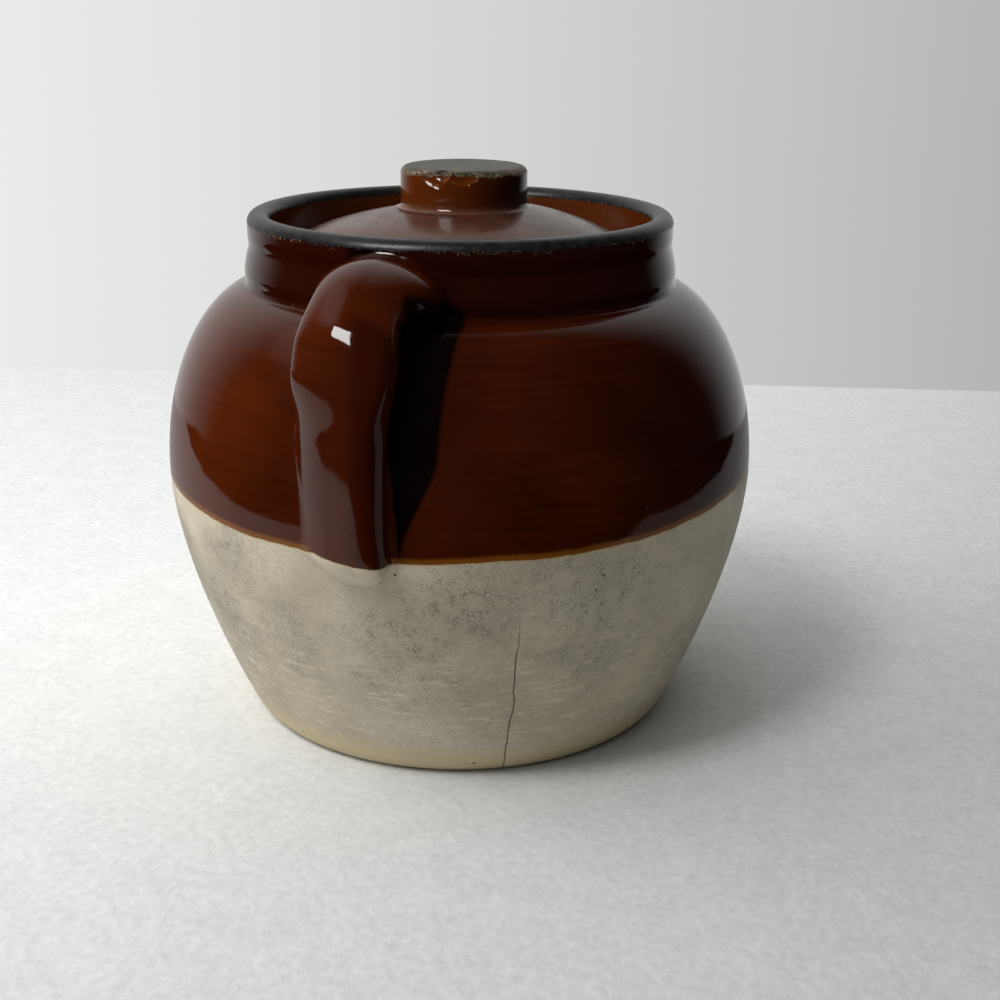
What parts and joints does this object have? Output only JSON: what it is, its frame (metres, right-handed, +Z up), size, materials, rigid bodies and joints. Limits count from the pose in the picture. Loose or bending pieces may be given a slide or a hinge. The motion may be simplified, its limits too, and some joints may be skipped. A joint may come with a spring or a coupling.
{
  "type": "bean pot",
  "caption": "Round-bellied stoneware bean pot with one strap handle and a loose domed lid with a round knob, resting on a ledge inside the neck.",
  "frame": {"origin": "centre of the flat underside, on the pot's axis, at table height", "axes": "+Z up along the pot's axis, the handle towards -Y"},
  "size_m": [0.1648, 0.1728, 0.1527],
  "materials": {
    "pot_body": "glossy brown glaze above, crazed cream glaze below",
    "handle": "glossy brown glaze",
    "lid": "glossy brown glaze with a dull bloom",
    "lid_knob": "glossy brown glaze, worn grey on top"
  },
  "bodies": {
    "pot": {"pot_body": "pot_body", "handle": "handle"},
    "lid": {"lid": "lid", "lid_knob": "lid_knob"}
  },
  "joints": [
    {"name": "lid_lift", "type": "slide", "parent": "pot", "child": "lid", "axis": [0, 0, 1], "range_m": [0, 0.08]}
  ]
}
